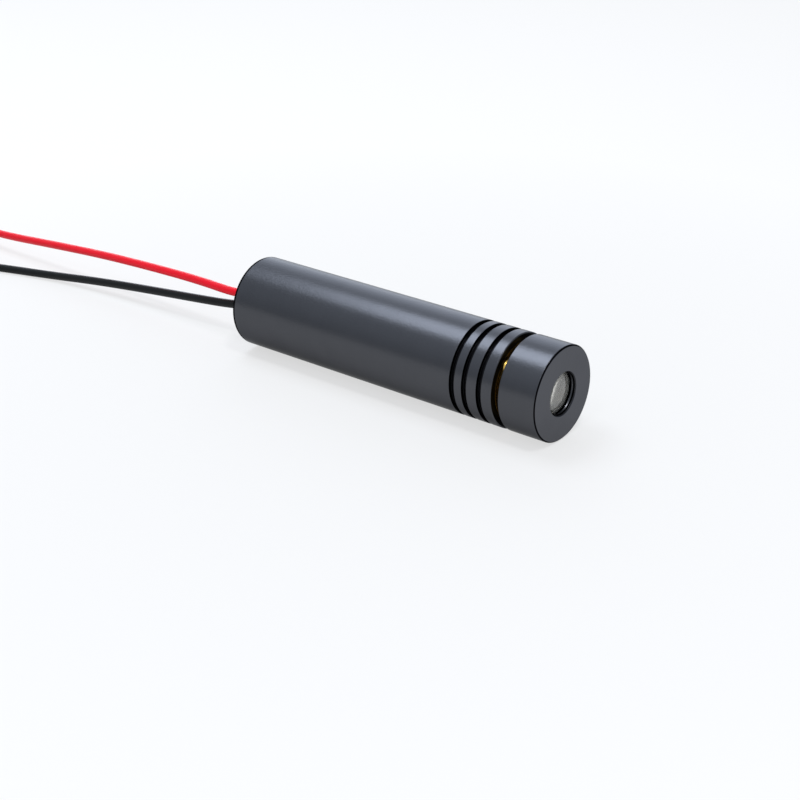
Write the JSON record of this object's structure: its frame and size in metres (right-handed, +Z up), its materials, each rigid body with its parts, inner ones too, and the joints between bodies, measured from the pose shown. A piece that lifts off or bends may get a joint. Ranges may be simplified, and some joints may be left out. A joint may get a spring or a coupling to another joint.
{
  "type": "laser diode module",
  "caption": "Round focusable laser diode module: grooved dark barrel, screw-on lens cap on a brass nose, and flying supply leads.",
  "frame": {"origin": "on the optical axis, halfway along the plain clamping length of the housing tube", "axes": "+X along the optical axis, the way the beam leaves; +Z up; the module lies with its axis level"},
  "size_m": [0.1362, 0.0198, 0.012],
  "materials": {
    "anodised_grey": "satin dark grey anodised",
    "brass": "turned brass",
    "lens_glass": "clear polished glass",
    "black_anodised": "black anodised",
    "spring_steel": "bright spring wire",
    "gold_plate": "gold plated",
    "nickel_plate": "nickel plated",
    "laser_die": "polished semiconductor",
    "board_green": "solder-masked glass epoxy",
    "chip_black": "moulded epoxy",
    "ceramic_tan": "ceramic",
    "solder": "tin solder",
    "tinned_copper": "tinned copper strands",
    "sleeve_film": "polyester tube",
    "potting_black": "cast epoxy",
    "red_pvc": "red vinyl insulation",
    "black_pvc": "black vinyl insulation",
    "tie_nylon": "natural nylon"
  },
  "bodies": {
    "housing": {"housing_tube": "anodised_grey", "brass_barrel": "brass", "diode_stem": "gold_plate", "diode_can": "nickel_plate", "diode_window": "lens_glass", "laser_post": "gold_plate", "laser_chip": "laser_die", "diode_leads": "gold_plate", "diode_clamp_ring": "brass", "driver_board": "board_green", "driver_chip": "chip_black", "driver_chip_legs": "tinned_copper", "output_transistor": "chip_black", "transistor_legs": "tinned_copper", "filter_capacitor": "ceramic_tan", "capacitor_ends": "solder", "chip_resistors": "chip_black", "reverse_diode": "chip_black", "solder_joints": "solder", "wire_tails": "tinned_copper", "insulating_sleeve": "sleeve_film", "rear_potting": "potting_black", "red_wire": "red_pvc", "black_wire": "black_pvc", "red_wire_coil": "red_pvc", "black_wire_coil": "black_pvc", "red_wire_tip": "tinned_copper", "black_wire_tip": "tinned_copper", "coil_tie": "tie_nylon"},
    "spring": {"focus_spring": "spring_steel"},
    "focus_head": {"focus_cap": "anodised_grey", "collimating_lens": "lens_glass", "lens_ring": "black_anodised"}
  },
  "joints": [
    {"name": "focus_advance", "type": "slide", "parent": "housing", "child": "spring", "axis": [1, 0, 0], "range_m": [-0.0009, 0.001], "deforming": ["focus_spring"]},
    {"name": "focus_turn", "type": "hinge", "parent": "spring", "child": "focus_head", "pos_m": [0, 0, 0], "axis": [1, 0, 0], "range_deg": [-650, 722]}
  ],
  "couplings": [
    {"joint": "focus_turn", "follows": "focus_advance", "rad_per_m": 12566}
  ]
}
